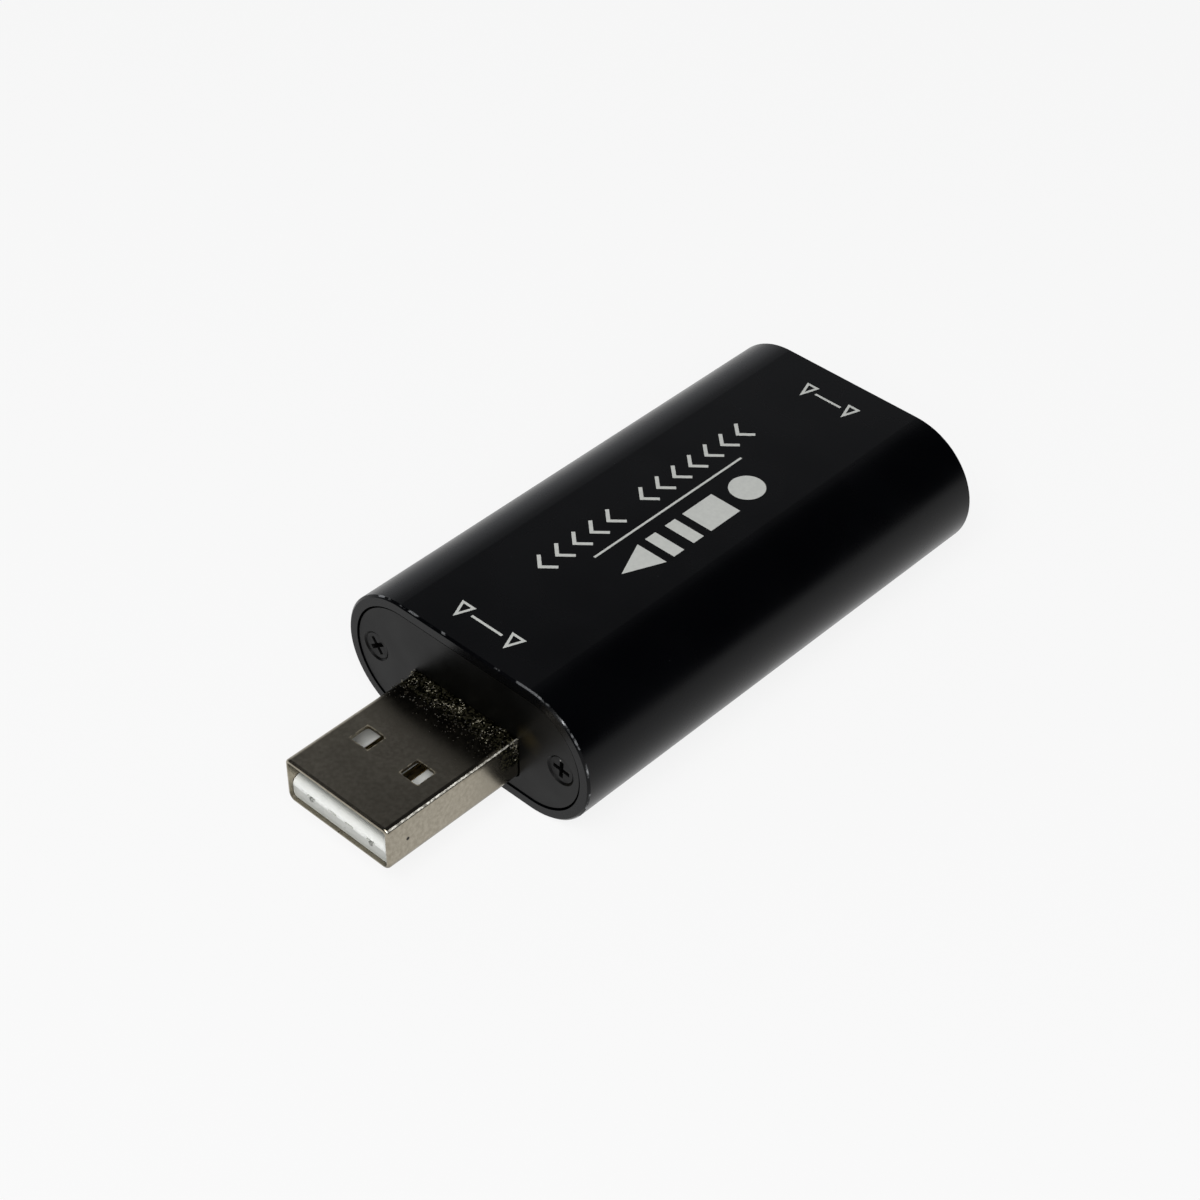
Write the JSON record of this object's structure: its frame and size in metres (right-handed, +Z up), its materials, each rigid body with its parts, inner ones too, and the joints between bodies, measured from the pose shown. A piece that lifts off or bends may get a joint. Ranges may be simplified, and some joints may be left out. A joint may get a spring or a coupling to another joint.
{
  "type": "video capture box",
  "caption": "Stick-shaped video capture box: rounded black aluminium sleeve with a USB type A plug at one end and a video input socket at the other.",
  "frame": {"origin": "on the resting surface, under the middle of the whole stick with its plug", "axes": "+X across the width, +Y from the USB plug towards the video socket, +Z up from the resting face"},
  "size_m": [0.028, 0.0636, 0.0132],
  "materials": {
    "anodised_black": "black anodised, satin, very fine grain",
    "plate_black": "black anodised, matt",
    "screw_black": "black plated",
    "plug_steel": "nickel plated sheet, mirror-like",
    "white_plastic": "white moulded nylon",
    "contact_metal": "gold flash over nickel",
    "socket_steel": "nickel plated sheet",
    "black_plastic": "black moulded",
    "board_green": "solder mask over fibreglass laminate",
    "chip_plastic": "moulded epoxy",
    "tinned_metal": "tin plated",
    "ceramic_brown": "sintered ceramic",
    "ferrite_grey": "ground ferrite"
  },
  "bodies": {
    "root": {"sleeve": "anodised_black", "output_end_plate": "plate_black", "input_end_plate": "plate_black", "output_plate_screws": "screw_black", "input_plate_screws": "screw_black", "usb_plug_shell": "plug_steel", "usb_plug_insulator": "white_plastic", "usb_contact_power": "contact_metal", "usb_contact_data_minus": "contact_metal", "usb_contact_data_plus": "contact_metal", "usb_contact_ground": "contact_metal", "video_socket_shell": "socket_steel", "video_socket_insulator": "black_plastic", "video_socket_contacts_upper": "contact_metal", "video_socket_contacts_lower": "contact_metal", "circuit_board": "board_green", "capture_chip": "chip_plastic", "capture_chip_leads": "tinned_metal", "memory_chip": "chip_plastic", "memory_chip_leads": "tinned_metal", "clock_crystal": "tinned_metal", "voltage_regulators": "chip_plastic", "voltage_regulator_leads": "tinned_metal", "power_inductor": "ferrite_grey", "ceramic_capacitors": "ceramic_brown", "capacitor_terminals": "tinned_metal", "resistors": "chip_plastic", "resistor_terminals": "tinned_metal", "surge_arrays": "chip_plastic"}
  },
  "joints": []
}
